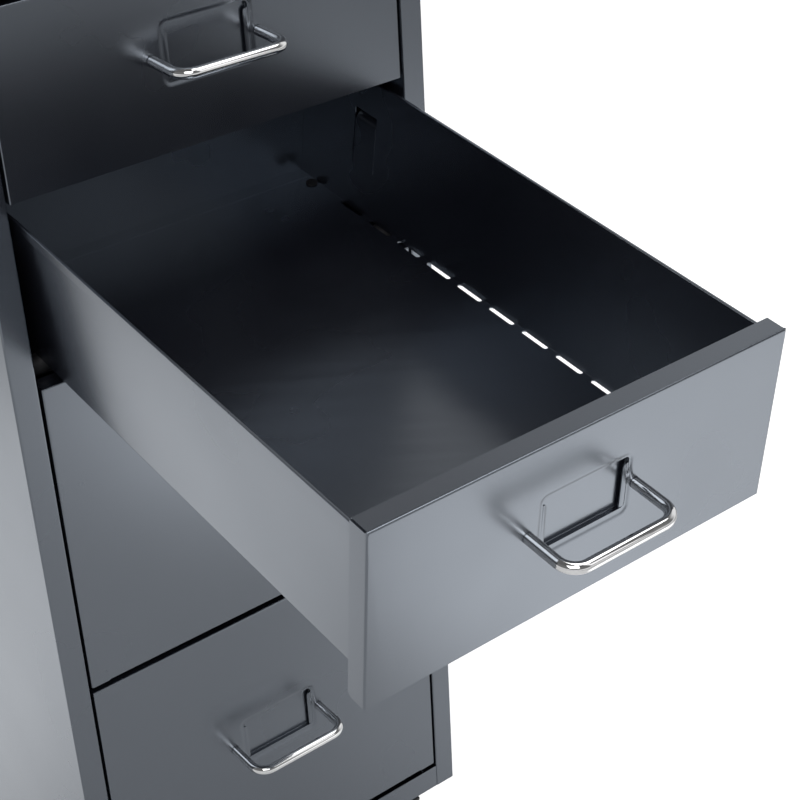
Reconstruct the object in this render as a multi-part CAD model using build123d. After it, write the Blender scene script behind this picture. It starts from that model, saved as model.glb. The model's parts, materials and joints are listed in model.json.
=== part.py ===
from build123d import *
import math
import os

# Narrow sheet-steel drawer cabinet on castors, in millimetres.
# X is to the right, Y to the back, Z up. The origin is on the floor, under the middle of the carcass.
# The pieces are drawn with Y measured from the front face, and moved to the middle when they are written.

# Carcass
cabinet_width = 280.0
cabinet_depth = 410.0
sheet = 0.8
stile_width = 15.0
stile_return = 20.0
rear_flange = 12.0
rail_height = 19.0
bend_radius = 1.0
seam = 0.3

# Drawer fronts, from the top down
small_front = 101.0
large_front = 206.0
front_gap = 4.0
side_gap = 1.7
front_flange = 12.0
lower_flange = 6.0
corner_slit = 0.9
wing_corner = 3.0
front_heights = [small_front, small_front, large_front, large_front]
handle_rises = [2.0, 2.0, 5.0, 5.0]

# Trays
tray_rear_gap = 22.0
mouth_gap = 4.4
side_flare = 5.6
floor_rise = 6.5
side_drop = 4.8
side_taper_length = 88.0
side_taper_drop = 6.0
front_tab = 12.0
slot_length = 20.5
slot_width = 3.2
slot_pitch = 28.5
slot_first = 17.2
slot_depth = 3.0
flap_width = 19.0
flap_top = 28.0
flap_height = 36.0
flap_slit = 1.0
flap_overlap = 2.0
flap_root = 1.0
back_drop = 8.0
back_flange = 10.0
back_clearance = 0.1

# Handle, and the label pocket behind it
handle_span = 65.0
pull_offset = -1.2
handle_reach = 29.0
handle_wire = 6.0
handle_bend = 9.5
groove_width = 0.4
groove_depth = 0.25
recess_width = 57.0
recess_height = 37.0
recess_corner = 5.0
recess_depth = 3.0
recess_side_run = 2.1
recess_top_run = 2.1
recess_bottom_run = 4.3
recess_floor_corner = 3.0
recess_rise = 2.0
label_lip = 5.3
label_mouth = 6.5
lip_corner = 2.4
recess_overrun = 1.0
screw_shank = 3.2
screw_clearance = 0.1
screw_head = 7.0
screw_head_height = 2.4
screw_reach = 10.0

# Runners, rollers and glides
runner_sheet = 1.0
runner_web = 22.0
runner_front_gap = 1.2
runner_rear_gap = 14.0
ledge_overlap = 9.0
ear_drop = 11.5
ear_length = 32.0
roller_diameter = 12.0
roller_side_gap = 0.5
roller_front_gap = 1.8
axle_stub = 4.0
axle_head = 7.0
axle_head_length = 1.5
glide_height = 1.3
glide_width = 6.5
glide_length = 14.0
glide_stud = 4.0
glide_head = 7.0
glide_head_height = 1.0
glide_edge = 1.5

# Small screws that hold the back and the castors
plate_screw = 3.5
plate_screw_head = 6.5
plate_screw_head_height = 1.8
plate_screw_length = 6.0
back_screw_rows = 4

# Castors
crown_gap = 5.7
castor_inset_x = 35.0
castor_inset_front = 52.0
castor_inset_rear = 48.0
castor_plate = 42.0
castor_plate_corner = 5.0
castor_plate_thickness = 2.0
castor_screw_spread = 30.0
castor_screw_length = 5.5
king_pin = 8.0
king_head = 12.0
king_head_height = 2.2
race_diameter = 26.0
race_height = 1.8
fork_top = 2.5
fork_top_half = 14.0
fork_wall = 1.5
fork_leg_half = 7.5
wheel_diameter = 32.0
wheel_width = 15.0
hub_diameter = 12.0
tread_rim = 4.0
wheel_dish = 3.0
castor_trail = 14.0
wheel_axle = 5.0
axle_end = 1.5
pedal_pin = 4.0
pedal_back = 10.0
pedal_lift = 1.0
pedal_length = 22.0
pedal_thickness = 2.5
pedal_side_gap = 1.0
shoe_start = 5.0
shoe_length = 4.0
shoe_drop = 6.8

# Shared clearances
running_fit = 0.05
seat_gap = 0.3
stop_gap = 0.3

# The pulled-out drawer, its droop and its travel, which ends with the flap at the stile
open_drawer = 2
open_tilt = 6.5
roller_radius = roller_diameter / 2
roller_y = front_flange + roller_front_gap + roller_radius
pivot_drop = roller_radius + seat_gap
kept_inside = 101.0

# Derived places
castor_height = wheel_diameter + crown_gap + fork_top + race_height + castor_plate_thickness
pedal_up = wheel_diameter / 2 + pedal_lift
half_width = cabinet_width / 2
wall_inner = half_width - sheet
stile_inner = half_width - stile_width
front_half = stile_inner - side_gap
tray_length = cabinet_depth - tray_rear_gap
side_taper_start = tray_length - side_taper_length
drawer_travel = tray_length - kept_inside
mouth_width = 2 * (stile_inner - mouth_gap)
floor_width = mouth_width - 2 * side_flare
ledge_inner = floor_width / 2 - ledge_overlap
ear_inner = front_half - sheet
carcass_bottom = castor_height
body_height = 2 * rail_height + sum(front_heights) + front_gap * (len(front_heights) + 1)
carcass_top = carcass_bottom + body_height
drawer_numbers = [1, 2, 3, 4]


def front_bottom(number):
    above = sum(front_heights[:number]) + front_gap * number
    return carcass_top - rail_height - above


def front_height(number):
    return front_heights[number - 1]


def handle_roots():
    return [pull_offset - handle_span / 2, pull_offset + handle_span / 2]


def floor_level(number):
    return front_bottom(number) + floor_rise


def side_top(number):
    return front_bottom(number) + front_height(number) - side_drop


def handle_level(number):
    return front_bottom(number) + front_height(number) / 2 + handle_rises[number - 1]


def pivot_level(number):
    return floor_level(number) - pivot_drop


def ledge_level(number):
    return floor_level(number) - glide_height - seat_gap


# Basic solids
def block(x0, x1, y0, y1, z0, z1):
    middle = Pos((x0 + x1) / 2, (y0 + y1) / 2, (z0 + z1) / 2)
    return middle * Box(abs(x1 - x0), abs(y1 - y0), abs(z1 - z0))


def polygon_on(plane, points):
    return plane * make_face(Polyline(*points, close=True))


def prism_x(points, x0, x1):
    plane = Plane(origin=(x0, 0, 0), x_dir=(0, 1, 0), z_dir=(1, 0, 0))
    return extrude(polygon_on(plane, points), amount=x1 - x0)


def prism_y(points, y0, y1):
    plane = Plane(origin=(0, y1, 0), x_dir=(1, 0, 0), z_dir=(0, -1, 0))
    return extrude(polygon_on(plane, points), amount=y1 - y0)


def rod(x, y, z, radius, length, direction):
    plane = Plane(origin=(x, y, z), z_dir=direction)
    return extrude(plane * Circle(radius), amount=length)


def edges_at(shape, axis, x=None, y=None, z=None):
    found = []
    for edge in shape.edges().filter_by(axis):
        middle = edge.center()
        near_x = x is None or abs(middle.X - x) < 0.01
        near_y = y is None or abs(middle.Y - y) < 0.01
        near_z = z is None or abs(middle.Z - z) < 0.01
        if near_x and near_y and near_z:
            found.append(edge)
    return found


def both_sides(shape):
    return [shape, mirror(shape, about=Plane.YZ)]


# Carcass panels
def side_panel():
    top = carcass_top - sheet
    wall = block(wall_inner, half_width, 0, cabinet_depth, carcass_bottom, top)
    stile = block(stile_inner, half_width, 0, sheet, carcass_bottom, top)
    inner = block(stile_inner, stile_inner + sheet, 0, stile_return, carcass_bottom, top)
    rear_x = half_width - rear_flange
    rear = block(rear_x, half_width, cabinet_depth - sheet, cabinet_depth, carcass_bottom, top)
    panel = wall + stile + inner + rear
    corners = edges_at(panel, Axis.Z, x=half_width, y=0)
    corners += edges_at(panel, Axis.Z, x=stile_inner, y=0)
    corners += edges_at(panel, Axis.Z, x=half_width, y=cabinet_depth)
    panel = fillet(corners, bend_radius)
    for x, y, z, direction in back_screw_places():
        panel -= rod(x, y, z, plate_screw / 2 + screw_clearance, plate_screw_length, direction)
    return panel


def pan_flanges(z0, z1, rear):
    front = block(-stile_inner + seam, stile_inner - seam, 0, sheet, z0, z1)
    side_start = stile_return + seam
    flange_end = cabinet_depth - 2 * sheet
    right = block(wall_inner - sheet, wall_inner, side_start, rear, z0, z1)
    left = block(-wall_inner, -wall_inner + sheet, side_start, rear, z0, z1)
    back = block(-wall_inner, wall_inner, flange_end - sheet, flange_end, z0, z1)
    return front + right + left + back


def top_panel():
    plate = block(-half_width, half_width, 0, cabinet_depth, carcass_top - sheet, carcass_top)
    flanges = pan_flanges(carcass_top - rail_height, carcass_top - sheet, cabinet_depth - 2 * sheet)
    panel = plate + flanges
    edges = edges_at(panel, Axis.X, y=0, z=carcass_top)
    edges += edges_at(panel, Axis.X, y=cabinet_depth, z=carcass_top)
    edges += edges_at(panel, Axis.Y, x=half_width, z=carcass_top)
    edges += edges_at(panel, Axis.Y, x=-half_width, z=carcass_top)
    return fillet(edges, min(bend_radius, sheet * 0.7))


def bottom_panel():
    low = carcass_bottom
    rear = cabinet_depth - 2 * sheet
    wide = block(-wall_inner, wall_inner, stile_return + seam, rear, low, low + sheet)
    tongue = block(-stile_inner + seam, stile_inner - seam, 0, stile_return + seam, low, low + sheet)
    panel = wide + tongue + pan_flanges(low, low + rail_height, rear)
    panel = fillet(edges_at(panel, Axis.X, y=0, z=low), min(bend_radius, sheet * 0.7))
    for x, y in castor_places():
        for dx, dy in castor_screw_offsets():
            radius = plate_screw / 2 + screw_clearance
            panel -= rod(x + dx, y + dy, low - sheet, radius, 3 * sheet, (0, 0, 1))
    return panel


def back_panel():
    y1 = cabinet_depth - sheet
    low = carcass_bottom + seam
    high = carcass_top - sheet - seam
    panel = block(-wall_inner + seam, wall_inner - seam, y1 - sheet, y1, low, high)
    for x, y, z, direction in back_screw_places():
        radius = plate_screw / 2 + screw_clearance
        hole = rod(x, y, z, radius, 2 * plate_screw_length, direction)
        panel -= hole
        panel -= mirror(hole, about=Plane.YZ)
    return panel


# Screws as a head and a shank, placed by the face that the head sits on
def screw(x, y, z, direction, head, head_height, shank, length):
    back = tuple(-value for value in direction)
    body = rod(x, y, z, shank / 2, length, direction)
    top = rod(x, y, z, head / 2, head_height, back)
    return body + top


def plate_screw_at(x, y, z, direction, length):
    return screw(x, y, z, direction, plate_screw_head, plate_screw_head_height, plate_screw, length)


def back_screw_places():
    x = half_width - rear_flange / 2
    span = body_height - 2 * rail_height
    places = []
    for row in range(back_screw_rows):
        z = carcass_bottom + rail_height + span * (row + 0.5) / back_screw_rows
        places.append((x, cabinet_depth, z, (0, -1, 0)))
    return places


def screws_on_both_sides(places, length):
    screws = []
    for x, y, z, direction in places:
        screws += both_sides(plate_screw_at(x, y, z, direction, length))
    return screws


# Runner for the right side, with its roller ear and stub axle
def runner(number):
    top = ledge_level(number)
    rear = cabinet_depth - runner_rear_gap
    ear_front = front_flange + stop_gap
    ledge_front = roller_y + roller_radius + roller_side_gap + seat_gap
    under = top - runner_sheet
    web_front = stile_return + runner_front_gap
    web = block(wall_inner - runner_sheet, wall_inner, web_front, rear, under, top + runner_web)
    ledge = block(ledge_inner, wall_inner, ledge_front, rear, under, top)
    ear = block(ear_inner, ear_inner + runner_sheet, ear_front, ear_front + ear_length, top - ear_drop, top)
    z = pivot_level(number)
    roller_end = ledge_inner
    axle = rod(ear_inner, roller_y, z, axle_stub / 2, ear_inner - roller_end + roller_side_gap, (-1, 0, 0))
    head = rod(roller_end - roller_side_gap, roller_y, z, axle_head / 2, axle_head_length, (-1, 0, 0))
    return web + ledge + ear + axle + head


def front_roller(number):
    z = pivot_level(number)
    length = ear_inner - roller_side_gap - ledge_inner
    barrel = rod(ledge_inner, roller_y, z, roller_radius, length, (1, 0, 0))
    bore = rod(ledge_inner - 1, roller_y, z, axle_stub / 2 + running_fit, length + 2, (1, 0, 0))
    return barrel - bore


# Label pocket, as the outside of the pressing or as the hollow in it
def recess_form(level, skin):
    grow = 2 * skin
    mouth = Plane(origin=(pull_offset, -recess_overrun, level), x_dir=(1, 0, 0), z_dir=(0, -1, 0))
    lean = recess_overrun / recess_depth
    width = recess_width + grow
    height = recess_height + grow
    floor_width_now = recess_width - 2 * recess_side_run + grow
    floor_height_now = recess_height - recess_top_run - recess_bottom_run + grow
    shift = (recess_bottom_run - recess_top_run) / 2
    floor = Plane(origin=(pull_offset, recess_depth + skin, level + shift), x_dir=(1, 0, 0), z_dir=(0, -1, 0))
    wide = width + 2 * recess_side_run * lean
    high = height + (recess_top_run + recess_bottom_run) * lean
    mouth_face = mouth * Pos(0, -shift * lean) * RectangleRounded(wide, high, recess_corner)
    floor_face = floor * RectangleRounded(floor_width_now, floor_height_now, recess_floor_corner)
    return loft([mouth_face, floor_face])


# Lip in the plane of the front, which keeps the edge of a label that is slid in from above
def label_lip_at(level):
    outer = recess_width / 2 + sheet
    inner = recess_width / 2 - label_lip
    low = level - recess_height / 2 - sheet
    high = level + recess_height / 2 - label_mouth
    lip = block(inner, outer, 0, sheet, low, high)
    return fillet(edges_at(lip, Axis.Y, x=inner, z=high), lip_corner)


def drawer_front(number):
    low = front_bottom(number)
    high = low + front_height(number)
    level = handle_level(number)
    face = block(-front_half, front_half, 0, sheet, low, high)
    upper = block(-front_half + corner_slit, front_half - corner_slit, 0, front_flange, high - sheet, high)
    lower = block(-front_half + front_flange, front_half - front_flange, 0, lower_flange, low, low + sheet)
    wing = block(front_half - sheet, front_half, 0, front_flange, low, high - corner_slit)
    wing = fillet(edges_at(wing, Axis.X, y=front_flange, z=low), wing_corner)
    pan = face + upper + lower + wing + mirror(wing, about=Plane.YZ)
    behind_face = block(-half_width, half_width, 0, cabinet_depth, low, high)
    pocket = recess_form(level + recess_rise, sheet) & behind_face
    pan = pan + pocket - recess_form(level + recess_rise, 0)
    for lip in both_sides(label_lip_at(level + recess_rise)):
        pan += Pos(pull_offset, 0, 0) * lip
    for x in handle_roots():
        pan -= rod(x, -sheet, level, screw_shank / 2 + screw_clearance, 3 * sheet, (0, 1, 0))
    bends = edges_at(pan, Axis.X, y=0, z=high) + edges_at(pan, Axis.X, y=0, z=low)
    bends += edges_at(pan, Axis.Z, x=front_half, y=0) + edges_at(pan, Axis.Z, x=-front_half, y=0)
    return fillet(bends, min(bend_radius, sheet * 0.7))


# Tray sides lean out from the floor to the mouth
def side_lean(number):
    rise = side_top(number) - floor_level(number)
    return (mouth_width - floor_width) / 2 / rise


def side_outer(number, z):
    return floor_width / 2 + (z - floor_level(number)) * side_lean(number)


def side_inner(number, z):
    return side_outer(number, z) - sheet * math.hypot(1, side_lean(number))


def tray_side(number):
    low = floor_level(number)
    high = side_top(number)
    points = [(side_inner(number, low), low), (side_outer(number, low), low)]
    points += [(side_outer(number, high), high), (side_inner(number, high), high)]
    side = prism_y(points, sheet, tray_length)
    cut = [(side_taper_start, high), (tray_length, high - side_taper_drop), (tray_length, high + 1)]
    cut.append((side_taper_start, high + 1))
    side -= prism_x(cut, 0, half_width)
    tab_low = low + front_tab
    tab_high = high - front_tab
    tab = [(side_inner(number, tab_low) - front_tab, tab_low), (side_outer(number, tab_low), tab_low)]
    tab += [(side_outer(number, tab_high), tab_high), (side_inner(number, tab_high) - front_tab, tab_high)]
    side += prism_y(tab, sheet, 2 * sheet)
    return cut_flap(side, number)


# Front edge of the flap on a closed drawer, so that its tip meets the stile's return at full travel and droop
def flap_start(number, top):
    lever = top - pivot_level(number)
    droop = math.radians(open_tilt)
    behind = stile_return + stop_gap - roller_y + lever * math.sin(droop)
    return roller_y + drawer_travel + behind / math.cos(droop)


# Flap lanced out of the side, which meets the back of the stile when the drawer is fully out
def cut_flap(side, number):
    top = front_bottom(number) + front_height(number) - flap_top
    root = top - flap_height
    start = flap_start(number, top)
    window = block(0, half_width, start - flap_slit, start + flap_width + flap_slit, root, top + flap_slit)
    tip = stile_inner + flap_overlap
    low = root - flap_root
    points = [(side_inner(number, low), low), (side_outer(number, low), low)]
    points += [(side_outer(number, root), root), (tip, top)]
    points += [(tip - sheet, top), (side_inner(number, root), root)]
    flap = prism_y(points, start, start + flap_width)
    return side - window + flap


def glide_places():
    x = floor_width / 2 - glide_edge - glide_width / 2
    y = tray_length - back_flange - glide_edge - glide_length / 2
    return [(x, y), (-x, y)]


# Row of slots in the floor beside the fold, which ends before the glide
def fold_slots(number):
    slots = []
    x = floor_width / 2 - sheet - slot_width / 2
    row = glide_places()[0][1] - glide_length / 2 - glide_edge - slot_length / 2 - slot_first
    for index in range(int(row / slot_pitch) + 1):
        y = slot_first + slot_pitch * index
        place = Plane(origin=(x, y, floor_level(number)), x_dir=(0, 1, 0), z_dir=(0, 0, 1))
        slots.append(extrude(place * SlotOverall(slot_length, slot_width), amount=slot_depth, both=True))
    return slots


def drawer_tray(number):
    low = floor_level(number)
    side = tray_side(number)
    floor = block(-floor_width / 2, floor_width / 2, sheet, tray_length, low, low + sheet)
    for slot in fold_slots(number):
        floor -= slot
        floor -= mirror(slot, about=Plane.YZ)
    tray = floor + side + mirror(side, about=Plane.YZ)
    for x, y in glide_places():
        tray -= rod(x, y, low - sheet, glide_stud / 2 + running_fit, 3 * sheet, (0, 0, 1))
    return tray


def drawer_back(number):
    low = floor_level(number) + sheet
    high = side_top(number) - back_drop
    face = tray_length - sheet
    x_low = side_inner(number, low) - back_clearance
    x_high = side_inner(number, high) - back_clearance
    plate = prism_y([(-x_low, low), (x_low, low), (x_high, high), (-x_high, high)], face - sheet, face)
    foot = block(-x_low, x_low, face - back_flange, face, low, low + sheet)
    inset = x_high - back_flange
    hem = block(-inset, inset, face - back_flange, face, high - sheet, high)
    return plate + foot + hem


def drawer_glide(number, x, y):
    low = floor_level(number)
    half_x = glide_width / 2
    half_y = glide_length / 2
    pad = block(x - half_x, x + half_x, y - half_y, y + half_y, low - glide_height, low)
    stud = rod(x, y, low, glide_stud / 2, sheet, (0, 0, 1))
    cap = rod(x, y, low + sheet, glide_head / 2, glide_head_height, (0, 0, 1))
    return pad + stud + cap


def drawer_handle(number):
    z = handle_level(number)
    left, right = handle_roots()
    points = [(left, 0, z), (left, -handle_reach, z), (right, -handle_reach, z), (right, 0, z)]
    path = FilletPolyline(*points, radius=handle_bend)
    section = Plane(origin=(left, 0, z), z_dir=(0, -1, 0)) * Circle(handle_wire / 2)
    wire = sweep(section, path=path)
    for x in (left, right):
        bore = rod(x, 0, z, screw_shank / 2 + screw_clearance, screw_reach + 1, (0, -1, 0))
        ring = rod(x, 0, z, handle_wire, groove_width, (0, -1, 0))
        ring -= rod(x, 0, z, handle_wire / 2 - groove_depth, groove_width, (0, -1, 0))
        wire = wire - bore - ring
    return wire


def handle_screw(number, x):
    z = handle_level(number)
    length = sheet + screw_reach
    return screw(x, sheet, z, (0, -1, 0), screw_head, screw_head_height, screw_shank, length)


# Droop and travel of the drawer that stands open
def placed(number, shape):
    if number != open_drawer:
        return shape
    pivot = (0, roller_y, pivot_level(number))
    moved = Pos(0, -drawer_travel, 0) * shape
    return moved.rotate(Axis(pivot, (1, 0, 0)), open_tilt)


# Castors
def castor_places():
    x = half_width - castor_inset_x
    front = castor_inset_front
    rear = cabinet_depth - castor_inset_rear
    return [(-x, front), (x, front), (-x, rear), (x, rear)]


def castor_screw_offsets():
    half = castor_screw_spread / 2
    return [(-half, -half), (half, -half), (-half, half), (half, half)]


fork_top_level = castor_height - castor_plate_thickness - race_height
fork_under = fork_top_level - fork_top
axle_level = wheel_diameter / 2
leg_inner = wheel_width / 2 + fork_wall
pedal_level = axle_level + pedal_up


def castor_plate_at(x, y):
    half = castor_plate / 2
    low = castor_height - castor_plate_thickness
    plate = block(x - half, x + half, y - half, y + half, low, castor_height)
    plate = fillet(plate.edges().filter_by(Axis.Z), castor_plate_corner)
    race = rod(x, y, fork_top_level + seat_gap, race_diameter / 2, low - fork_top_level - seat_gap, (0, 0, 1))
    head_top = fork_under - seat_gap
    pin = rod(x, y, head_top - king_head_height, king_pin / 2, low - head_top + king_head_height, (0, 0, 1))
    head = rod(x, y, head_top - king_head_height, king_head / 2, king_head_height, (0, 0, 1))
    plate = plate + race + pin + head
    for dx, dy in castor_screw_offsets():
        radius = plate_screw / 2 + screw_clearance
        plate -= rod(x + dx, y + dy, low - 1, radius, castor_plate_thickness + 2, (0, 0, 1))
    return plate


def castor_screws_at(x, y):
    low = castor_height - castor_plate_thickness
    screws = []
    for dx, dy in castor_screw_offsets():
        screws.append(plate_screw_at(x + dx, y + dy, low, (0, 0, 1), castor_screw_length))
    return screws


def castor_fork(x, y, braked):
    axle_y = y - castor_trail
    half = fork_top_half
    outer = leg_inner + fork_wall
    crown = block(x - outer, x + outer, y - half, y + half, fork_under, fork_top_level)
    eye = fork_leg_half
    points = [(y + half, fork_top_level), (y - half, fork_top_level)]
    if braked:
        points += [(axle_y - pedal_back - eye / 2, pedal_level + eye / 2)]
        points += [(axle_y - pedal_back - eye / 2, pedal_level - eye / 2)]
    points += [(axle_y - eye, axle_level + eye / 2), (axle_y - eye, axle_level - eye / 2)]
    points += [(axle_y - eye / 2, axle_level - eye), (axle_y + eye / 2, axle_level - eye)]
    points += [(axle_y + eye, axle_level), (y + half, fork_under)]
    leg = prism_x(points, leg_inner, outer)
    fork = crown + Pos(x, 0, 0) * leg + Pos(x - leg_inner - outer, 0, 0) * leg
    fork -= rod(x, y, fork_under - 1, king_pin / 2 + running_fit, fork_top + 2, (0, 0, 1))
    across = 2 * outer + 2
    fork -= rod(x - across / 2, axle_y, axle_level, wheel_axle / 2 + running_fit, across, (1, 0, 0))
    if braked:
        pin_y = axle_y - pedal_back
        fork -= rod(x - across / 2, pin_y, pedal_level, pedal_pin / 2 + running_fit, across, (1, 0, 0))
    return fork


def castor_axle(x, y):
    axle_y = y - castor_trail
    outer = leg_inner + fork_wall
    pin = rod(x - outer - axle_end, axle_y, axle_level, wheel_axle / 2, 2 * (outer + axle_end), (1, 0, 0))
    for start in (-outer - axle_end, outer):
        pin += rod(x + start, axle_y, axle_level, wheel_axle / 2 + axle_end, axle_end, (1, 0, 0))
    return pin


def castor_wheel(x, y):
    axle_y = y - castor_trail
    radius = wheel_diameter / 2
    half = wheel_width / 2
    hub_half = leg_inner - seat_gap
    tyre = rod(x - half, axle_y, axle_level, radius, wheel_width, (1, 0, 0))
    tyre = fillet(tyre.edges(), bend_radius)
    for side in (-1, 1):
        ring = rod(x + side * half, axle_y, axle_level, radius - tread_rim, wheel_dish, (-side, 0, 0))
        tyre -= ring
    hub = rod(x - hub_half, axle_y, axle_level, hub_diameter / 2, 2 * hub_half, (1, 0, 0))
    bore_radius = wheel_axle / 2 + running_fit
    bore = rod(x - hub_half, axle_y, axle_level, bore_radius, 2 * hub_half, (1, 0, 0))
    return tyre + hub - bore


def brake_pedal(x, y):
    pin_y = y - castor_trail - pedal_back
    half = leg_inner - pedal_side_gap
    outer = leg_inner + fork_wall
    pin = rod(x - outer, pin_y, pedal_level, pedal_pin / 2, 2 * outer, (1, 0, 0))
    front = pin_y - pedal_length
    tread = block(x - half, x + half, front, pin_y, pedal_level, pedal_level + pedal_thickness)
    shoe_back = pin_y - shoe_start
    shoe = block(x - half, x + half, shoe_back - shoe_length, shoe_back, pedal_level - shoe_drop, pedal_level)
    return pin + tread + shoe


# Nodes, each a name and its solids
nodes = {}
right_side = side_panel()
nodes["right_side_panel"] = [right_side]
nodes["left_side_panel"] = [mirror(right_side, about=Plane.YZ)]
nodes["top_panel"] = [top_panel()]
nodes["bottom_panel"] = [bottom_panel()]
nodes["back_panel"] = [back_panel()]
nodes["back_screws"] = screws_on_both_sides(back_screw_places(), plate_screw_length)
for number in drawer_numbers:
    right_runner = runner(number)
    name = f"drawer_{number}"
    nodes[f"runner_{number}_right"] = [right_runner]
    nodes[f"runner_{number}_left"] = [mirror(right_runner, about=Plane.YZ)]
    nodes[f"front_rollers_{number}"] = both_sides(front_roller(number))
    nodes[f"{name}_front"] = [placed(number, drawer_front(number))]
    nodes[f"{name}_tray"] = [placed(number, drawer_tray(number))]
    nodes[f"{name}_back"] = [placed(number, drawer_back(number))]
    nodes[f"{name}_handle"] = [placed(number, drawer_handle(number))]
    screws = [handle_screw(number, x) for x in handle_roots()]
    nodes[f"{name}_handle_screws"] = [placed(number, shape) for shape in screws]
    glides = [drawer_glide(number, x, y) for x, y in glide_places()]
    nodes[f"{name}_glides"] = [placed(number, shape) for shape in glides]
nodes["castor_plates"] = [castor_plate_at(x, y) for x, y in castor_places()]
nodes["castor_screws"] = [shape for x, y in castor_places() for shape in castor_screws_at(x, y)]
castor_names = ["front_left", "front_right", "rear_left", "rear_right"]
for corner, (x, y) in zip(castor_names, castor_places()):
    braked = corner.startswith("front")
    nodes[f"{corner}_castor_fork"] = [castor_fork(x, y, braked)]
    nodes[f"{corner}_castor_axle"] = [castor_axle(x, y)]
    nodes[f"{corner}_castor_wheel"] = [castor_wheel(x, y)]
    if braked:
        nodes[f"{corner}_brake_pedal"] = [brake_pedal(x, y)]

os.makedirs("parts", exist_ok=True)
to_middle = Pos(0, -cabinet_depth / 2, 0)
for name, shapes in nodes.items():
    solids = []
    for shape in shapes:
        solids += (to_middle * shape).solids()
    export_step(Compound(children=solids), f"parts/{name}.step")
print(len(nodes), "nodes; roller axis", roller_y, "travel", drawer_travel, "top", carcass_top)
for number in drawer_numbers:
    print(number, front_bottom(number), floor_level(number), pivot_level(number), handle_level(number))
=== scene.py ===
import bpy
import json
import math
from mathutils import Matrix, Vector


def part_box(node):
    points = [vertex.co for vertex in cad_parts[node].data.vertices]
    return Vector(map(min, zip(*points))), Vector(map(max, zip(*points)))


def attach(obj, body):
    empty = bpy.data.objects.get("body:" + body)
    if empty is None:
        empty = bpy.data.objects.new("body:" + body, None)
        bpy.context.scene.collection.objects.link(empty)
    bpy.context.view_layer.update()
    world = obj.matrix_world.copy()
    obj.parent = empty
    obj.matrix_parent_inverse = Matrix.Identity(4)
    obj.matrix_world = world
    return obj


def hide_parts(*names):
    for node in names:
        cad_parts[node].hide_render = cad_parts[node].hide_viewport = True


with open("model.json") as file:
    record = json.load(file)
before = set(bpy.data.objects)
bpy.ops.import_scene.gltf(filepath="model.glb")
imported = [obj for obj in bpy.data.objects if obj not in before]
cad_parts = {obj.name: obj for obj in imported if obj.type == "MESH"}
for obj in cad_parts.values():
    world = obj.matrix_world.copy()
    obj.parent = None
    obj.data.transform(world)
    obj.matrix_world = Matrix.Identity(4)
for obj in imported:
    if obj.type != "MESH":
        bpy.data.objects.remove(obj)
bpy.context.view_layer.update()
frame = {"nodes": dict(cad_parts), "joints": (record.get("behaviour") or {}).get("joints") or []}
nodes = frame["nodes"]
bpy.ops.object.select_all(action='DESELECT')
print("frame loaded:", len(nodes), "nodes")

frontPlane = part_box("left_side_panel")[0].y  # front face of the stiles


# finishes

def newFinish(name):
    finish = bpy.data.materials.new(name)
    finish.use_nodes = True
    tree = finish.node_tree
    tree.nodes.clear()
    output = tree.nodes.new("ShaderNodeOutputMaterial")
    shader = tree.nodes.new("ShaderNodeBsdfPrincipled")
    tree.links.new(shader.outputs["BSDF"], output.inputs["Surface"])
    coords = tree.nodes.new("ShaderNodeTexCoord")
    return finish, tree, shader, coords


noiseSpan = (0.3, 0.7)  # most of a noise lies between these


def noiseNode(tree, coords, scale, detail):
    noise = tree.nodes.new("ShaderNodeTexNoise")
    noise.inputs["Scale"].default_value = scale
    noise.inputs["Detail"].default_value = detail
    tree.links.new(coords.outputs["Object"], noise.inputs["Vector"])
    return noise


def rampNode(tree, source, dark, light):
    ramp = tree.nodes.new("ShaderNodeValToRGB")
    for stop, place, colour in zip(ramp.color_ramp.elements, noiseSpan, (dark, light)):
        stop.position = place
        stop.color = (*colour, 1)
    tree.links.new(source, ramp.inputs["Fac"])
    return ramp


def rangeNode(tree, source, start, end, low, high):
    span = tree.nodes.new("ShaderNodeMapRange")
    span.inputs["From Min"].default_value = start
    span.inputs["From Max"].default_value = end
    span.inputs["To Min"].default_value = low
    span.inputs["To Max"].default_value = high
    tree.links.new(source, span.inputs["Value"])
    return span


def mathNode(tree, operation, first, second):
    sums = tree.nodes.new("ShaderNodeMath")
    sums.operation = operation
    tree.links.new(first, sums.inputs[0])
    tree.links.new(second, sums.inputs[1])
    return sums.outputs[0]


def bumpNode(tree, shader, height, strength, distance):
    bump = tree.nodes.new("ShaderNodeBump")
    bump.inputs["Strength"].default_value = strength
    bump.inputs["Distance"].default_value = distance
    tree.links.new(height, bump.inputs["Height"])
    tree.links.new(bump.outputs["Normal"], shader.inputs["Normal"])


def paintOver(tree, shader, noise, dark, light, roughLow, roughHigh):  # colour and gloss that follow a noise
    tone = rampNode(tree, noise.outputs["Fac"], dark, light)
    tree.links.new(tone.outputs["Color"], shader.inputs["Base Color"])
    rough = rangeNode(tree, noise.outputs["Fac"], *noiseSpan, roughLow, roughHigh)
    tree.links.new(rough.outputs["Result"], shader.inputs["Roughness"])


powderCoat = {"dark": (0.0048, 0.0052, 0.0085), "light": (0.0060, 0.0066, 0.0105),
              "roughLow": 0.235, "roughHigh": 0.285, "ior": 2.65, "sheenTint": (0.80, 0.885, 1.0),
              "cloudScale": 9, "cloudDetail": 3,
              "peelScale": 700, "peelDetail": 2, "peelStrength": 0.10, "peelHeight": 0.00006}


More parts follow.
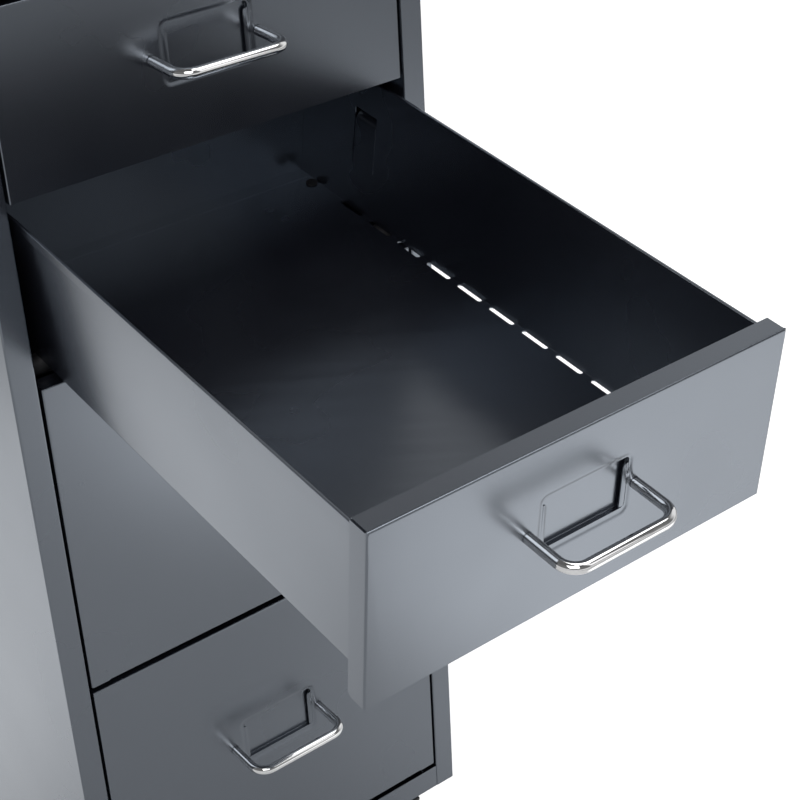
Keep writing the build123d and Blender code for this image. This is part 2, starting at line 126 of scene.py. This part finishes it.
def anthraciteCoat():
    c = powderCoat
    finish, tree, shader, coords = newFinish("anthracite_powder_coat")
    clouds = noiseNode(tree, coords, c["cloudScale"], c["cloudDetail"])
    peel = noiseNode(tree, coords, c["peelScale"], c["peelDetail"])
    paintOver(tree, shader, clouds, c["dark"], c["light"], c["roughLow"], c["roughHigh"])
    shader.inputs["IOR"].default_value = c["ior"]
    shader.inputs["Specular Tint"].default_value = (*c["sheenTint"], 1)
    bumpNode(tree, shader, peel.outputs["Fac"], c["peelStrength"], c["peelHeight"])
    return finish


metals = {  # dark and light tone, least and most roughness, grain scale and detail, bump strength and height
    "chrome_plate": ((0.78, 0.78, 0.79), (0.86, 0.86, 0.86), 0.05, 0.10, 120, 3, 0.02, 0.00002),
    "bright_zinc": ((0.50, 0.51, 0.53), (0.66, 0.67, 0.69), 0.24, 0.38, 260, 3, 0.08, 0.00004),
}
plastics = {  # the same
    "black_nylon": ((0.010, 0.010, 0.011), (0.016, 0.016, 0.018), 0.42, 0.54, 300, 2, 0.10, 0.0001),
    "black_wheel_plastic": ((0.012, 0.012, 0.013), (0.022, 0.022, 0.024), 0.42, 0.58, 420, 2, 0.25, 0.0001),
    "black_pedal_plastic": ((0.016, 0.016, 0.017), (0.028, 0.028, 0.030), 0.35, 0.48, 500, 2, 0.30, 0.0001),
}
nylonGloss = 0.25  # half the gloss of the other plastics


def grainedFinish(name, dark, light, roughLow, roughHigh, scale, detail, strength, height):
    finish, tree, shader, coords = newFinish(name)
    grain = noiseNode(tree, coords, scale, detail)
    paintOver(tree, shader, grain, dark, light, roughLow, roughHigh)
    bumpNode(tree, shader, grain.outputs["Fac"], strength, height)
    if name in metals:
        shader.inputs["Metallic"].default_value = 1.0
    elif name == "black_nylon":
        shader.inputs["Specular IOR Level"].default_value = nylonGloss
    return finish


coat = anthraciteCoat()
chrome, zinc = [grainedFinish(name, *values) for name, values in metals.items()]
nylon, tyre, pedalBlack = [grainedFinish(name, *values) for name, values in plastics.items()]


def finishOf(name):
    if "rollers" in name or "glides" in name:
        return nylon
    if name.endswith("handle"):
        return chrome
    if "screws" in name or "axle" in name:
        return zinc
    if "castor_plates" in name or "fork" in name:
        return zinc
    if "wheel" in name:
        return tyre
    if "pedal" in name:
        return pedalBlack
    return coat


for name, node in nodes.items():
    node.data.materials.clear()
    node.data.materials.append(finishOf(name))
print("finishes set")


# modelling helpers

tolerance = 0.00002  # metres, for points that are picked by their place
slack = 0.0001  # metres, past a line that points are picked along
rawEdges = {"segments": 2, "sharpAngle": 50, "smoothAngle": 38, "faceWeight": 60}  # angles in degrees


def near(a, b):
    return abs(a - b) < tolerance


def pick(piece, part, test):  # selects VERT, EDGE or FACE parts whose points all pass the test
    bpy.ops.object.mode_set(mode='EDIT')
    bpy.ops.mesh.select_mode(type=part)
    bpy.ops.mesh.select_all(action='DESELECT')
    bpy.ops.object.mode_set(mode='OBJECT')
    points = piece.data.vertices
    if part == 'VERT':
        for point in points:
            point.select = test(point.co)
    else:
        for item in piece.data.edges if part == 'EDGE' else piece.data.polygons:
            item.select = all(test(points[index].co) for index in item.vertices)
    bpy.ops.object.mode_set(mode='EDIT')


def pushOut(x, y, z):
    bpy.ops.mesh.extrude_region_move(TRANSFORM_OT_translate={"value": (x, y, z)})


def shift(piece, test, x, y, z):
    pick(piece, 'VERT', test)
    bpy.ops.transform.translate(value=(x, y, z))


def cutAcross(place, normal):
    bpy.ops.object.mode_set(mode='EDIT')
    bpy.ops.mesh.select_all(action='SELECT')
    bpy.ops.mesh.bisect(plane_co=place, plane_no=normal)


def pickNothing():
    if bpy.context.object and bpy.context.object.mode != 'OBJECT':
        bpy.ops.object.mode_set(mode='OBJECT')
    bpy.ops.object.select_all(action='DESELECT')


def flatSheet(name, middle, width, height, turn):
    pickNothing()
    bpy.ops.mesh.primitive_plane_add(size=1, location=middle, rotation=turn)
    piece = bpy.context.object
    piece.name = name
    piece.scale = (width, height, 1)
    bpy.ops.object.transform_apply(location=True, rotation=True, scale=True)
    return piece


def addModifier(piece, kind, **values):
    bpy.ops.object.mode_set(mode='OBJECT')
    bpy.ops.object.modifier_add(type=kind)
    modifier = piece.modifiers[-1]
    for key, value in values.items():
        setattr(modifier, key, value)
    bpy.ops.object.modifier_apply(modifier=modifier.name)


def makeCurrent(piece):
    pickNothing()
    piece.select_set(True)
    bpy.context.view_layer.objects.active = piece


def subtract(piece, cutter):
    makeCurrent(piece)
    addModifier(piece, 'BOOLEAN', operation='DIFFERENCE', solver='EXACT', object=cutter)
    bpy.data.objects.remove(cutter)


def joinTo(piece, others):
    makeCurrent(piece)
    for other in others:
        other.select_set(True)
    bpy.ops.object.join()


def smoothShading():
    bpy.ops.object.shade_smooth_by_angle(angle=math.radians(rawEdges["smoothAngle"]))


def finishEdges(piece, width):  # softened raw edges and clean shading on flat faces
    makeCurrent(piece)
    addModifier(piece, 'BEVEL', width=width, segments=rawEdges["segments"], limit_method='ANGLE',
                angle_limit=math.radians(rawEdges["sharpAngle"]), use_clamp_overlap=True)
    smoothShading()
    addModifier(piece, 'WEIGHTED_NORMAL', keep_sharp=True, weight=rawEdges["faceWeight"])


def faceOutwards():
    bpy.ops.mesh.select_all(action='SELECT')
    bpy.ops.mesh.normals_make_consistent(inside=False)


def copyOf(piece, name, matrix):
    makeCurrent(piece)
    bpy.ops.object.duplicate()
    double = bpy.context.object
    double.name = name
    double.matrix_world = matrix @ double.matrix_world
    bpy.ops.object.transform_apply(location=True, rotation=True, scale=True)
    return double


def standsFor(piece, node, body, finish):
    piece.data.materials.clear()
    piece.data.materials.append(finish)
    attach(piece, body)
    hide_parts(node)


# drawers: the small one is modelled at drawer 1 and the large one at drawer 3, both shut,
# and then copied to drawers 2 and 4

joints = {joint["name"]: joint for joint in frame["joints"]}
pivot = Vector(joints["drawer_2_tilt"]["pos_m"])
droop = math.radians(-joints["drawer_2_tilt"]["range_deg"][0])
travel = joints["drawer_2_slide"]["range_m"][1]
openTwo = (Matrix.Translation(pivot) @ Matrix.Rotation(droop, 4, 'X') @ Matrix.Translation(-pivot)
           @ Matrix.Translation((0, -travel, 0)))
stepDown = {2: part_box("front_rollers_2")[0].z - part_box("front_rollers_1")[0].z,
            4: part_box("front_rollers_4")[0].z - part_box("front_rollers_3")[0].z}
openPlace = {1: Matrix.Identity(4),
             2: openTwo @ Matrix.Translation((0, 0, stepDown[2])),
             3: Matrix.Identity(4),
             4: Matrix.Translation((0, 0, stepDown[4]))}


def overDrawers(models, kind, finish):  # models by the drawer they are drawn at
    for number in (1, 2, 3, 4):
        source = models[1] if number < 3 else models[3]
        name = "drawer_%d_%s" % (number, kind)
        piece = copyOf(source, name + "_shape", openPlace[number])
        standsFor(piece, name, "drawer_%d" % number, finish)
    for source in models.values():
        bpy.data.objects.remove(source)


pressing = {"sheet": 0.0008, "flange": 0.012, "lowerFlange": 0.006, "wingCorner": 0.003, "wingSteps": 5,
            "notch": 0.0008, "notchStart": 0.0016, "bend": 0.0009, "bendSteps": 4, "rawEdge": 0.00012}
labelPocket = {"width": 0.057, "height": 0.037, "x": -0.0004, "margin": 0.005,
               "corner": 0.005, "cornerSteps": 8, "step": 0.0004, "slope": 0.0018, "soften": 0.0008,
               "ledge": 0.0007, "ledgeRound": 0.8, "shelf": 0.0018, "depth": 0.0030, "floorEdge": 0.0003,
               "edgeSteps": 3}
labelLip = {"inner": 0.0232, "outer": 0.0272, "mouth": 0.0065, "corner": 0.0024, "cornerSteps": 6,
            "sink": 0.00002, "crown": 0.0004, "ridge": 0.001}
pocketRise = {1: 0.0545, 3: 0.110}  # middle of the label pocket above the lower edge of its front
faceTurn = (math.pi / 2, 0, 0)  # stands a sheet up, facing the front
sideTurn = (0, math.pi / 2, 0)  # stands it up, facing the right


def pocketSheet(face, level):  # soft shallow step, then steep walls to the floor, and a shelf below
    k = labelPocket
    halfX, halfZ = k["width"] / 2, k["height"] / 2
    stepPlane, floorPlane = face + k["step"], face + k["depth"]
    piece = flatSheet("front_model", (k["x"], face, level),
                      k["width"] + 2 * k["margin"], k["height"] + 2 * k["margin"], faceTurn)
    pick(piece, 'VERT', lambda spot: True)
    bpy.ops.mesh.bevel(offset=k["corner"] + k["margin"], segments=k["cornerSteps"], affect='VERTICES')
    pick(piece, 'FACE', lambda spot: True)
    bpy.ops.mesh.inset(thickness=k["margin"], depth=0)
    bpy.ops.mesh.inset(thickness=k["slope"], depth=-k["step"])
    bpy.ops.mesh.inset(thickness=k["ledge"], depth=0)
    pushOut(0, k["depth"] - k["step"], 0)
    bpy.ops.object.mode_set(mode='OBJECT')
    floorSpots = {(spot.co.x, spot.co.z) for spot in piece.data.vertices if near(spot.co.y, floorPlane)}

    def onWall(spot):
        return (spot.x, spot.z) in floorSpots

    pick(piece, 'EDGE', lambda spot: near(spot.y, stepPlane) and not onWall(spot))
    bpy.ops.mesh.bevel(offset=k["ledge"] * k["ledgeRound"], segments=k["edgeSteps"], affect='EDGES')
    pick(piece, 'EDGE', lambda spot: near(spot.y, face) and abs(spot.x - k["x"]) < halfX + slack
         and abs(spot.z - level) < halfZ + slack)
    bpy.ops.mesh.bevel(offset=k["soften"], segments=k["edgeSteps"], affect='EDGES')
    pick(piece, 'VERT', lambda spot: onWall(spot) and spot.z < level)
    bpy.ops.transform.translate(value=(0, 0, k["shelf"]))
    pick(piece, 'EDGE', lambda spot: near(spot.y, floorPlane))
    bpy.ops.mesh.bevel(offset=k["floorEdge"], segments=k["edgeSteps"], affect='EDGES')
    return piece


def lipSheet(side, face, level):  # lip that keeps the edge of a label, open above
    k = labelPocket
    low = level - k["height"] / 2 + k["slope"] + k["ledge"]
    high = level + k["height"] / 2 - labelLip["mouth"]
    middle = k["x"] + side * (labelLip["inner"] + labelLip["outer"]) / 2
    inside = k["x"] + side * labelLip["inner"]
    piece = flatSheet("lip_model", (middle, face + k["step"] + labelLip["sink"], (low + high) / 2),
                      labelLip["outer"] - labelLip["inner"], high - low, faceTurn)
    pick(piece, 'VERT', lambda spot: near(spot.x, inside) and near(spot.z, high))
    bpy.ops.mesh.bevel(offset=labelLip["corner"], segments=labelLip["cornerSteps"], affect='VERTICES')
    cutAcross((middle, 0, 0), (1, 0, 0))
    shift(piece, lambda spot: abs(spot.x - middle) > labelLip["ridge"], 0, labelLip["crown"], 0)
    addModifier(piece, 'SOLIDIFY', thickness=pressing["sheet"], offset=-1)
    return piece


def openCorner(piece, onFlange, atCorner, start, x, z):  # draws the end of a flange back from the corner
    pick(piece, 'FACE', onFlange)
    bpy.ops.mesh.bisect(plane_co=(0, start, 0), plane_no=(0, 1, 0))
    shift(piece, lambda spot: atCorner(spot) and spot.y > start - slack, x, 0, z)


def drawerFront(number):
    p = pressing
    low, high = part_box("drawer_%d_front" % number)
    half, bottom, top, face = high.x, low.z, high.z, frontPlane
    level = bottom + pocketRise[number]
    lowerHalf = half - p["flange"]
    piece = pocketSheet(face, level)
    outline = flatSheet("front_outline", (0, face, (bottom + top) / 2), 2 * half, top - bottom, faceTurn)
    pick(outline, 'EDGE', lambda spot: near(spot.z, bottom))
    bpy.ops.mesh.subdivide(number_cuts=2)
    for side in (-1, 1):  # ends of the lower flange
        shift(outline, lambda spot: near(spot.z, bottom) and 0 < side * spot.x < half - slack,
              side * (lowerHalf - half / 3), 0, 0)
    bpy.ops.mesh.select_all(action='SELECT')
    bpy.ops.mesh.delete(type='ONLY_FACE')
    joinTo(piece, [outline])
    pick(piece, 'EDGE', lambda spot: False)
    bpy.ops.mesh.select_non_manifold(extend=False)  # the loose outline and the open edge round the pocket
    bpy.ops.mesh.fill(use_beauty=True)
    faceOutwards()
    bpy.ops.object.mode_set(mode='OBJECT')
    largest = max(piece.data.polygons, key=lambda item: item.area)
    if largest.normal.y > 0:  # an open sheet can come out facing the drawer
        pick(piece, 'FACE', lambda spot: True)
        bpy.ops.mesh.flip_normals()
    pick(piece, 'EDGE', lambda spot: near(spot.y, face) and near(spot.z, top))
    pushOut(0, p["flange"], 0)
    back = face + p["flange"]
    slit = face + p["notchStart"]  # the two upper corners are open from here to the back
    for side in (-1, 1):
        openCorner(piece, lambda spot: near(spot.z, top),
                   lambda spot: near(spot.z, top) and near(spot.x, side * half),
                   slit, -side * p["notch"], 0)
    for side in (-1, 1):  # side flanges, rounded at the lower end
        pick(piece, 'EDGE', lambda spot: near(spot.y, face) and near(spot.x, side * half))
        pushOut(0, p["flange"], 0)
        openCorner(piece, lambda spot: near(spot.x, side * half),
                   lambda spot: near(spot.z, top) and near(spot.x, side * half),
                   slit, 0, -p["notch"])
        pick(piece, 'VERT', lambda spot: near(spot.y, back) and near(spot.x, side * half)
             and near(spot.z, bottom))
        bpy.ops.mesh.bevel(offset=p["wingCorner"], segments=p["wingSteps"], affect='VERTICES')
    lowerEnd = lowerHalf + slack
    pick(piece, 'EDGE', lambda spot: near(spot.y, face) and near(spot.z, bottom) and abs(spot.x) < lowerEnd)
    pushOut(0, p["lowerFlange"], 0)

    def onFold(spot):
        atLower = near(spot.z, bottom) and abs(spot.x) < lowerEnd
        return near(spot.y, face) and (near(abs(spot.x), half) or near(spot.z, top) or atLower)

    pick(piece, 'EDGE', onFold)
    bpy.ops.mesh.bevel(offset=p["bend"], segments=p["bendSteps"], affect='EDGES')
    addModifier(piece, 'SOLIDIFY', thickness=p["sheet"], offset=-1, use_even_offset=True)
    joinTo(piece, [lipSheet(-1, face, level), lipSheet(1, face, level)])
    finishEdges(piece, p["rawEdge"])
    return piece


frontModels = {1: drawerFront(1), 3: drawerFront(3)}
overDrawers(frontModels, "front", coat)
print("fronts pressed")


wire = {"radius": 0.003, "foot": 0.0025, "relief": 0.0005, "span": 0.065, "reach": 0.029, "middle": -0.0018,
        "bend": 0.0095, "bendSteps": 14, "sides": 32, "weld": 0.000001}


def drawerHandle(number):
    w = wire
    low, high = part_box("drawer_%d_handle" % number)
    level = (low.z + high.z) / 2
    left, right = w["middle"] - w["span"] / 2, w["middle"] + w["span"] / 2
    pickNothing()
    bpy.ops.mesh.primitive_circle_add(vertices=w["sides"], radius=w["foot"], fill_type='NGON',
                                      location=(left, frontPlane, level), rotation=faceTurn)
    piece = bpy.context.object
    bpy.ops.object.transform_apply(location=True, rotation=True, scale=True)
    bpy.ops.object.mode_set(mode='EDIT')
    bpy.ops.mesh.select_mode(type='FACE')
    bpy.ops.mesh.select_all(action='SELECT')
    grow = w["radius"] / w["foot"]
    legEnd = frontPlane - w["reach"] + w["bend"]
    pushOut(0, -w["relief"], 0)  # narrow foot that leaves a fine ring at the panel
    pushOut(0, 0, 0)
    bpy.ops.transform.resize(value=(grow, 1, grow), center_override=(left, frontPlane, level))
    pushOut(0, legEnd - frontPlane + w["relief"], 0)
    quarter = {"steps": w["bendSteps"], "angle": -math.pi / 2, "axis": (0, 0, 1)}
    bpy.ops.mesh.spin(center=(left + w["bend"], legEnd, level), **quarter)
    pushOut(w["span"] - 2 * w["bend"], 0, 0)
    bpy.ops.mesh.spin(center=(right - w["bend"], legEnd, level), **quarter)
    pushOut(0, frontPlane - w["relief"] - legEnd, 0)
    pushOut(0, 0, 0)
    bpy.ops.transform.resize(value=(1 / grow, 1, 1 / grow), center_override=(right, frontPlane, level))
    pushOut(0, w["relief"], 0)
    bpy.ops.mesh.select_all(action='SELECT')
    bpy.ops.mesh.remove_doubles(threshold=w["weld"])
    faceOutwards()
    bpy.ops.object.mode_set(mode='OBJECT')
    smoothShading()
    return piece


handleModels = {1: drawerHandle(1), 3: drawerHandle(3)}
overDrawers(handleModels, "handle", chrome)
print("handles bent")


trayShape = {"sheet": 0.0008, "length": 0.388, "floorHalf": 0.115, "mouthHalf": 0.1206, "tab": 0.012,
             "hem": 0.0046, "hemGap": 0.0002, "hemRound": 0.00045, "hemSteps": 3,
             "taperStart": 0.300, "taperDrop": 0.006, "bend": 0.0011, "bendSteps": 3, "rawEdge": 0.00012}
foldSlots = {"length": 0.0205, "width": 0.0032, "pitch": 0.0285, "first": 0.0172, "count": 12, "x": 0.1126,
             "depth": 0.003, "endSteps": 8, "endFlat": 0.00001}
stopFlap = {"width": 0.019, "height": 0.036, "below": 0.0232, "slit": 0.001, "root": 0.001, "stub": 0.002,
            "lip": 0.007, "tip": 0.127, "curl": 0.3, "window": 0.020,
            "stileBack": 0.0203, "rollerRadius": 0.006}


def slotCutters(floorLevel):  # one long round-ended cutter, repeated along the fold and on both sides
    f = foldSlots
    cutter = flatSheet("slot_cutter", (f["x"], frontPlane + f["first"], floorLevel - f["depth"]),
                       f["width"], f["length"], (0, 0, 0))
    pick(cutter, 'VERT', lambda spot: True)
    bpy.ops.mesh.bevel(offset=f["width"] / 2 - f["endFlat"], segments=f["endSteps"], affect='VERTICES')
    pick(cutter, 'FACE', lambda spot: True)
    pushOut(0, 0, 2 * f["depth"])
    faceOutwards()
    addModifier(cutter, 'ARRAY', count=f["count"], use_relative_offset=False, use_constant_offset=True,
                constant_offset_displace=(0, f["pitch"], 0))
    addModifier(cutter, 'MIRROR', use_axis=(True, False, False))
    return cutter


def sideOut(z, low, high):  # outside of a leaning side at a height
    t = trayShape
    return t["floorHalf"] + (t["mouthHalf"] - t["floorHalf"]) * (z - low) / (high - low)


def flapStart(top, axle):  # where the lip meets the stile's return at full travel and droop
    stile = frontPlane + stopFlap["stileBack"]
    return pivot.y + travel + (stile - pivot.y + (top - axle) * math.sin(droop)) / math.cos(droop)


def windowCutter(start, root, top, outside):
    k = stopFlap
    middle = (outside - k["window"] / 2, start + k["width"] / 2, (root + top + k["slit"]) / 2)
    cutter = flatSheet("window_cutter", middle, top + k["slit"] - root, k["width"] + 2 * k["slit"], sideTurn)
    pick(cutter, 'FACE', lambda spot: True)
    pushOut(k["window"], 0, 0)
    faceOutwards()
    addModifier(cutter, 'MIRROR', use_axis=(True, False, False))
    return cutter


def stopFlapSheet(start, root, top, low, high):  # tongue that lies in its window, with the lip turned out
    k = stopFlap
    lipStart = top - k["lip"]
    bottom = root - k["root"]
    bottomX, kneeX = sideOut(bottom, low, high), sideOut(lipStart, low, high)
    middle = bottom + k["stub"] / 2
    piece = flatSheet("flap_model", (bottomX, start + k["width"] / 2, middle),
                      k["stub"], k["width"], sideTurn)
    shift(piece, lambda spot: spot.z > middle, kneeX - bottomX, 0, lipStart - bottom - k["stub"])
    pick(piece, 'EDGE', lambda spot: spot.z > root)
    pushOut((k["tip"] - kneeX) * k["curl"], 0, k["lip"] / 2)
    pushOut((k["tip"] - kneeX) * (1 - k["curl"]), 0, k["lip"] / 2)
    addModifier(piece, 'SOLIDIFY', thickness=trayShape["sheet"], offset=-1, use_even_offset=True)
    addModifier(piece, 'MIRROR', use_axis=(True, False, False))
    return piece


def drawerTray(number):
    t = trayShape
    low, high = [corner.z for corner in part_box("drawer_%d_tray" % number)]
    front, rear = frontPlane + t["sheet"], frontPlane + t["length"]
    piece = flatSheet("tray_model", (0, (front + rear) / 2, low), 2 * t["floorHalf"], rear - front,
                      (math.pi, 0, 0))
    fold = high - t["sheet"]  # the sheet turns over here into the hem
    foldX = sideOut(fold, low, high)
    hemLean = t["hem"] * (foldX - t["floorHalf"]) / (fold - low)
    for side in (-1, 1):
        pick(piece, 'EDGE', lambda spot: near(spot.x, side * t["floorHalf"]) and near(spot.z, low))
        pushOut(side * (foldX - t["floorHalf"]), 0, fold - low)
        pushOut(side * t["hemGap"], 0, 0)
        pushOut(-side * hemLean, 0, -t["hem"])
    cutAcross((0, 0, low + t["tab"]), (0, 0, 1))
    cutAcross((0, 0, high - t["tab"]), (0, 0, 1))
    for side in (-1, 1):  # tabs turned in behind the front
        pick(piece, 'EDGE', lambda spot: near(spot.y, front) and side * spot.x > 0
             and low + t["tab"] - slack < spot.z < high - t["tab"] + slack)
        pushOut(-side * t["tab"], 0, 0)
    cutAcross((0, frontPlane + t["taperStart"], 0), (0, 1, 0))
    lean = (t["mouthHalf"] - t["floorHalf"]) / (high - low)
    for side in (-1, 1):  # the sides fall away towards the back
        shift(piece, lambda spot: near(spot.y, rear) and side * spot.x > 0
              and spot.z > high - t["tab"] + slack, -side * lean * t["taperDrop"], 0, -t["taperDrop"])
    pick(piece, 'EDGE', lambda spot: near(spot.z, low) and near(abs(spot.x), t["floorHalf"]))
    bpy.ops.mesh.bevel(offset=t["bend"], segments=t["bendSteps"], affect='EDGES')
    addModifier(piece, 'SOLIDIFY', thickness=t["sheet"], offset=-1, use_even_offset=True)
    slope = t["taperDrop"] / (t["length"] - t["taperStart"])

    def onHemTop(spot):  # the top line of the hem, level and then falling to the back
        return abs(spot.z - high + slope * max(0, spot.y - frontPlane - t["taperStart"])) < slack

    pick(piece, 'EDGE', onHemTop)
    bpy.ops.mesh.bevel(offset=t["hemRound"], segments=t["hemSteps"], affect='EDGES')
    subtract(piece, slotCutters(low))
    top = high - stopFlap["below"]
    root = top - stopFlap["height"]
    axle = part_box("front_rollers_%d" % number)[0].z + stopFlap["rollerRadius"]
    start = flapStart(top, axle)
    subtract(piece, windowCutter(start, root, top, sideOut(root, low, high)))
    joinTo(piece, [stopFlapSheet(start, root, top, low, high)])
    finishEdges(piece, t["rawEdge"])
    return piece


trayModels = {1: drawerTray(1), 3: drawerTray(3)}
overDrawers(trayModels, "tray", coat)
print("trays folded")


# studio: pale floor, soft lamps and the camera

# the floor's weak glow in reflections away from the pools is painted light
studio = {"floorSize": 9.0, "floorColour": (0.86, 0.86, 0.86), "floorRough": 0.9, "pale": 0.75,
          "paintedGlowBase": 0.07, "fill": 0.20, "backdrop": 1.0,
          "ceiling": 0.12, "ceilingStart": 0.60, "ceilingEnd": 0.75,
          "horizon": 0.16, "screen": 0.88, "screenSide": (0.707, 0.707, 0),
          "screenStart": 0.25, "screenEnd": 0.60, "sweep": 0.95, "sweepEnd": 0.19}
paintedLightPools = [  # painted pools of light: the floor glows brighter here, seen only in reflections: middle, full within, gone beyond, strength
    ((0.34, -0.81, 0), 0.11, 0.22, 1.40),
    ((0.52, -0.88, 0), 0.15, 0.28, 1.24),
    ((0.68, -0.92, 0), 0.18, 0.36, 1.12),
    ((0.34, -0.28, 0), 0.10, 0.30, 0.4),
    ((-0.22, 0.34, 0), 0.16, 0.60, 1.0),
]
softboxes = {  # place, aim, width, height, watts
    "key": ((-0.9, -1.8, 2.1), (0, -0.2, 0.4), 1.4, 1.4, 24),
    "top": ((0.75, -0.65, 2.4), (0.1, -0.4, 0.4), 1.2, 1.2, 13),
    "left": ((-1.8, 0.9, 1.2), (-0.4, 0.3, 0), 1.0, 1.0, 8),
    "strip": ((0.95, -2.0, 1.8), (0, -0.55, 0.5), 0.4, 1.9, 2.4),
}


def lampBox(name, place, aim, width, height, watts):
    lamp = bpy.data.lights.new(name, 'AREA')
    lamp.shape = 'RECTANGLE'
    lamp.size, lamp.size_y, lamp.energy = width, height, watts
    holder = bpy.data.objects.new(name, lamp)
    holder.location = place
    holder.rotation_euler = (Vector(aim) - Vector(place)).to_track_quat('-Z', 'Y').to_euler()
    bpy.context.scene.collection.objects.link(holder)


for name, setting in softboxes.items():
    lampBox(name + "_softbox", *setting)


def mirroredRays(tree):  # the light path, and 1 for glossy and transmission rays
    path = tree.nodes.new("ShaderNodeLightPath")
    glossy, transmitted = path.outputs["Is Glossy Ray"], path.outputs["Is Transmission Ray"]
    return path, mathNode(tree, 'MAXIMUM', glossy, transmitted)


def studioWorld():  # white for the camera; in reflections a low white band, a white screen and a dim ceiling
    world = bpy.data.worlds.new("studio")
    bpy.context.scene.world = world
    world.use_nodes = True
    tree = world.node_tree
    back = tree.nodes["Background"]
    coords = tree.nodes.new("ShaderNodeTexCoord")
    parts = tree.nodes.new("ShaderNodeSeparateXYZ")
    tree.links.new(coords.outputs["Generated"], parts.inputs[0])
    toScreen = tree.nodes.new("ShaderNodeVectorMath")  # the tall white screen stands behind, to the right
    toScreen.operation = 'DOT_PRODUCT'
    toScreen.inputs[1].default_value = studio["screenSide"]
    tree.links.new(coords.outputs["Generated"], toScreen.inputs[0])
    screen = rangeNode(tree, toScreen.outputs["Value"], studio["screenStart"], studio["screenEnd"],
                       studio["horizon"], studio["screen"])
    sweep = rangeNode(tree, parts.outputs["Z"], 0, studio["sweepEnd"], studio["sweep"], 0)  # paper all round
    walls = mathNode(tree, 'MAXIMUM', screen.outputs["Result"], sweep.outputs["Result"])
    height = rangeNode(tree, parts.outputs["Z"], studio["ceilingStart"], studio["ceilingEnd"],
                       studio["horizon"], studio["ceiling"])
    tree.links.new(walls, height.inputs["To Min"])
    path, mirrored = mirroredRays(tree)
    level = tree.nodes.new("ShaderNodeMix")
    level.inputs["A"].default_value = studio["fill"]
    tree.links.new(mirrored, level.inputs["Factor"])
    tree.links.new(height.outputs["Result"], level.inputs["B"])
    seen = tree.nodes.new("ShaderNodeMix")
    seen.inputs["B"].default_value = studio["backdrop"]
    tree.links.new(path.outputs["Is Camera Ray"], seen.inputs["Factor"])
    tree.links.new(level.outputs["Result"], seen.inputs["A"])
    tree.links.new(seen.outputs["Result"], back.inputs["Strength"])
    back.inputs["Color"].default_value = (1, 1, 1, 1)


def studioFloor():
    bpy.ops.mesh.primitive_plane_add(size=studio["floorSize"], location=(0, 0, 0))
    floor = bpy.context.object
    floor.name = "studio_floor"
    finish, tree, shader, coords = newFinish("pale_floor")
    output = tree.nodes["Material Output"]
    shader.inputs["Base Color"].default_value = (*studio["floorColour"], 1)
    shader.inputs["Roughness"].default_value = studio["floorRough"]
    shader.inputs["Specular IOR Level"].default_value = 0.0
    total = None
    # painted light: the floor glows in these pools and weakly elsewhere, for glossy and transmission rays
    # only
    for middle, inner, reach, most in paintedLightPools:
        apart = tree.nodes.new("ShaderNodeVectorMath")
        apart.operation = 'DISTANCE'
        apart.inputs[1].default_value = middle
        tree.links.new(coords.outputs["Object"], apart.inputs[0])
        pool = rangeNode(tree, apart.outputs["Value"], inner, reach, most, studio["paintedGlowBase"])
        pool.interpolation_type = 'SMOOTHSTEP'
        shine = pool.outputs["Result"]
        total = mathNode(tree, 'MAXIMUM', total, shine) if total else shine
    glow = tree.nodes.new("ShaderNodeEmission")
    path, mirrored = mirroredRays(tree)
    inMirror = mathNode(tree, 'MULTIPLY', mirrored, total)
    strength = tree.nodes.new("ShaderNodeMath")
    strength.operation = 'MULTIPLY_ADD'
    tree.links.new(path.outputs["Is Camera Ray"], strength.inputs[0])
    strength.inputs[1].default_value = studio["pale"]
    tree.links.new(inMirror, strength.inputs[2])
    tree.links.new(strength.outputs[0], glow.inputs["Strength"])
    both = tree.nodes.new("ShaderNodeAddShader")
    tree.links.new(shader.outputs["BSDF"], both.inputs[0])
    tree.links.new(glow.outputs["Emission"], both.inputs[1])
    tree.links.new(both.outputs["Shader"], output.inputs["Surface"])
    floor.data.materials.append(finish)


studioWorld()
studioFloor()

photoCamera = {"place": (-0.4545, -0.9876, 0.9816), "azimuth": -37.92, "elevation": 30.24, "roll": -2.03,
               "lens": 81.5, "sensor": 36, "shift": (-0.0680, -0.0708)}


def placeCamera():
    lens = bpy.data.cameras.new("photo_camera")
    lens.lens = photoCamera["lens"]
    lens.sensor_width = photoCamera["sensor"]
    lens.shift_x, lens.shift_y = photoCamera["shift"]
    camera = bpy.data.objects.new("photo_camera", lens)
    turn = Matrix.Rotation(math.radians(photoCamera["azimuth"]), 4, 'Z')
    pitch = Matrix.Rotation(math.radians(90 - photoCamera["elevation"]), 4, 'X')
    roll = Matrix.Rotation(math.radians(photoCamera["roll"]), 4, 'Z')
    camera.matrix_world = Matrix.Translation(photoCamera["place"]) @ turn @ pitch @ roll
    bpy.context.scene.collection.objects.link(camera)
    bpy.context.scene.camera = camera


placeCamera()
bpy.context.scene.view_settings.view_transform = 'Standard'
print("studio and camera placed")
